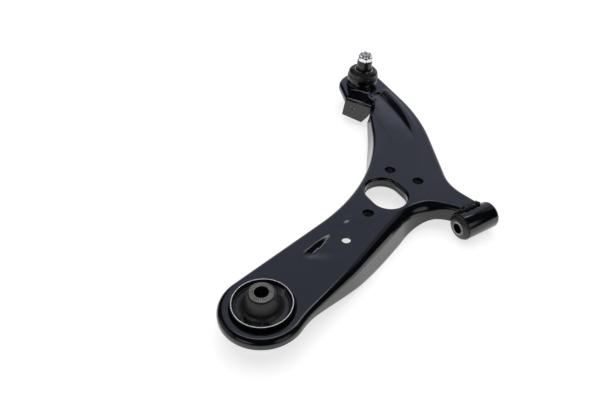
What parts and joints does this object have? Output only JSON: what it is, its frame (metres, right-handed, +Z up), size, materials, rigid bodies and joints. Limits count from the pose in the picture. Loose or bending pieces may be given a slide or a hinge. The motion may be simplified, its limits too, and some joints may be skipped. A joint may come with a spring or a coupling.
{
  "type": "suspension control arm",
  "caption": "Pressed-steel lower control arm: two legs meeting at a ball joint, with a vertical rear bush, a horizontal front bush in a welded tube and a stud under a rubber boot.",
  "frame": {"origin": "on the axis of the rear bush bore, level with the arm's flat top", "axes": "+Z up, along the rear bush bore and out of the flat top; +X along the front bush bore, away from the rear bush; +Y towards the wheel side, where the ball joint is"},
  "size_m": [0.4032, 0.3754, 0.0842],
  "materials": {
    "black_paint": "semi-gloss black dip paint",
    "bare_steel": "turned bare steel",
    "zinc": "bright zinc plate",
    "rubber": "matte black rubber",
    "polymer": "natural acetal",
    "black_plastic": "moulded black plastic"
  },
  "bodies": {
    "arm": {"upper_shell": "black_paint", "lower_plate": "black_paint", "tip_bracket": "black_paint", "plug_welds": "black_paint", "plate_seam_welds": "black_paint", "bracket_weld": "black_paint", "front_bush_tube": "black_paint", "tube_welds": "black_paint", "front_bush_outer_sleeve": "bare_steel", "front_bush_rubber": "rubber", "rear_bush_outer_ring": "black_paint", "ball_joint_housing": "black_paint", "housing_snap_ring": "zinc", "housing_cap": "zinc", "lower_ball_seat": "polymer", "upper_ball_seat": "polymer", "boot_lower_ring": "zinc"},
    "front_bush_core": {"front_bush_inner_sleeve": "bare_steel"},
    "rear_bush_body": {"rear_bush_rubber": "rubber"},
    "rear_bush_core": {"rear_bush_inner_sleeve": "bare_steel"},
    "boot": {"dust_boot": "rubber"},
    "boot_clip": {"boot_upper_ring": "zinc"},
    "stud": {"ball_stud": "bare_steel", "stud_sleeve": "black_plastic", "castle_nut": "zinc"}
  },
  "joints": [
    {"name": "front_bush_twist", "type": "hinge", "parent": "arm", "child": "front_bush_core", "pos_m": [0.27825, 0, -0.0175], "axis": [1, 0, 0], "range_deg": [-20, 20], "stiffness_Nm_per_rad": 50},
    {"name": "rear_bush_tilt", "type": "hinge", "parent": "arm", "child": "rear_bush_body", "pos_m": [0, 0, -0.006], "axis": [1, 0, 0], "range_deg": [-10, 10], "stiffness_Nm_per_rad": 60, "deforming": ["rear_bush_rubber"]},
    {"name": "rear_bush_twist", "type": "hinge", "parent": "rear_bush_body", "child": "rear_bush_core", "pos_m": [0, 0, 0], "axis": [0, 0, 1], "range_deg": [-15, 15], "stiffness_Nm_per_rad": 80},
    {"name": "ball_tilt_x", "type": "hinge", "parent": "arm", "child": "boot", "pos_m": [0.32482, 0.29769, -0.00798], "axis": [0.9982, 0.0011, -0.0598], "range_deg": [-15, 15], "deforming": ["dust_boot"]},
    {"name": "ball_tilt_y", "type": "hinge", "parent": "boot", "child": "boot_clip", "pos_m": [0.32482, 0.29769, -0.00798], "axis": [0.0011, 0.9994, 0.0359], "range_deg": [-15, 15], "deforming": ["dust_boot"]},
    {"name": "stud_spin", "type": "hinge", "parent": "boot_clip", "child": "stud", "pos_m": [0.32482, 0.29769, -0.00798], "axis": [0.0598, -0.0359, 0.9976], "continuous": true}
  ]
}
